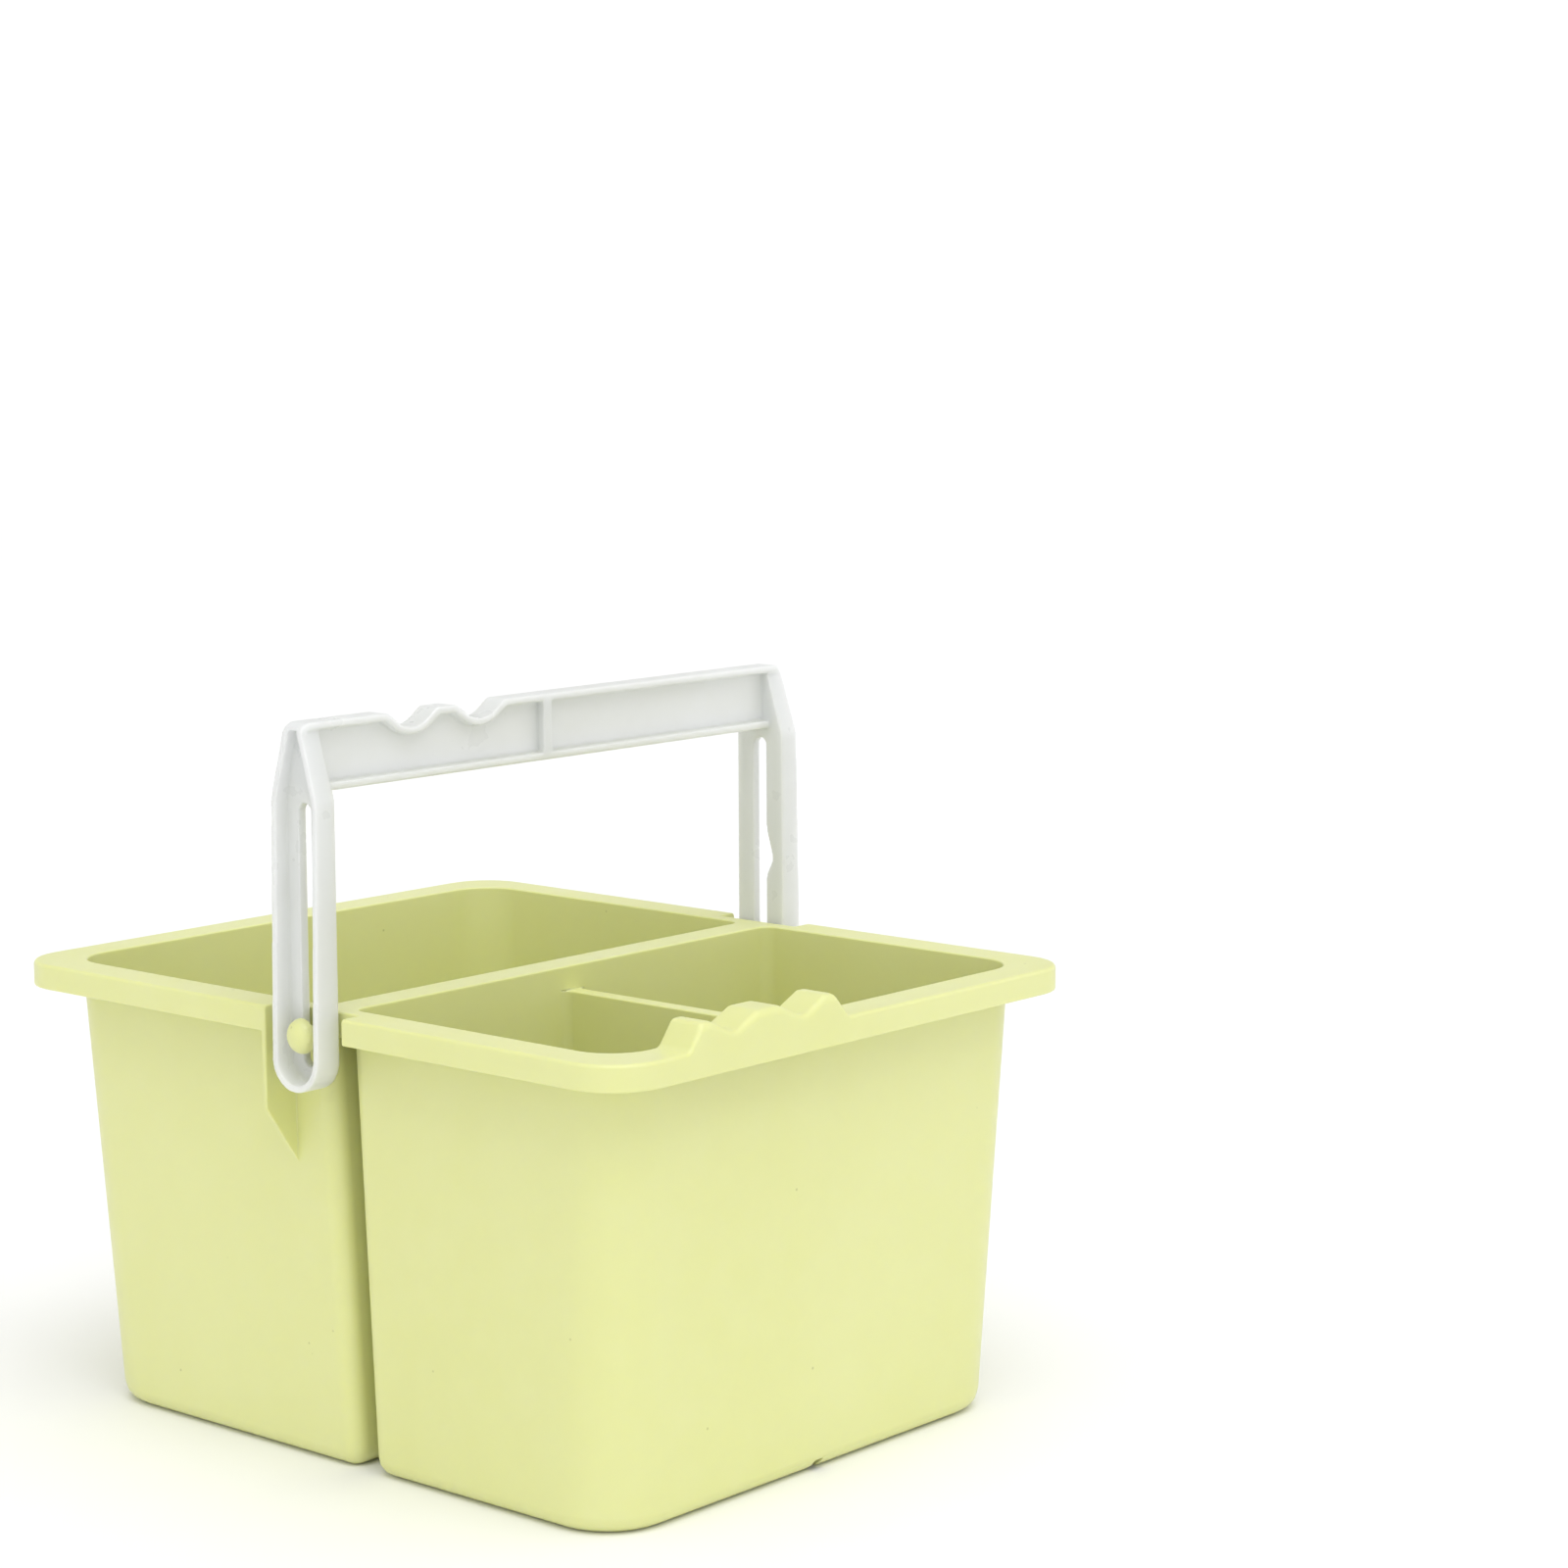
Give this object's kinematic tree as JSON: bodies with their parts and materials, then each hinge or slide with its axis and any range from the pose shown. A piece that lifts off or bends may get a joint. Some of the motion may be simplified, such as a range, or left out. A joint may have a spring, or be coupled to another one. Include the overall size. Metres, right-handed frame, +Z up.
{
  "type": "cleaning caddy",
  "caption": "Open plastic tub of a large bin and a divided bin under one rim, with an I-beam grip whose slotted legs slide up and down on studs.",
  "frame": {"origin": "on the floor, under the middle of the tub's rim", "axes": "+Z up, X along the grip bar, -Y towards the divided bin with the scalloped lip"},
  "size_m": [0.2908, 0.3504, 0.3034],
  "materials": {
    "tub_plastic": "satin, slightly translucent pale yellow-green polypropylene",
    "handle_plastic": "satin, milky natural polypropylene"
  },
  "bodies": {
    "tub": {"tub": "tub_plastic", "pivot_stud_left": "tub_plastic", "pivot_stud_right": "tub_plastic"},
    "handle": {"handle": "handle_plastic"}
  },
  "joints": [
    {"name": "handle_slide", "type": "slide", "parent": "tub", "child": "handle", "axis": [0, 0, 1], "range_m": [-0.0863, 0.0092]}
  ]
}
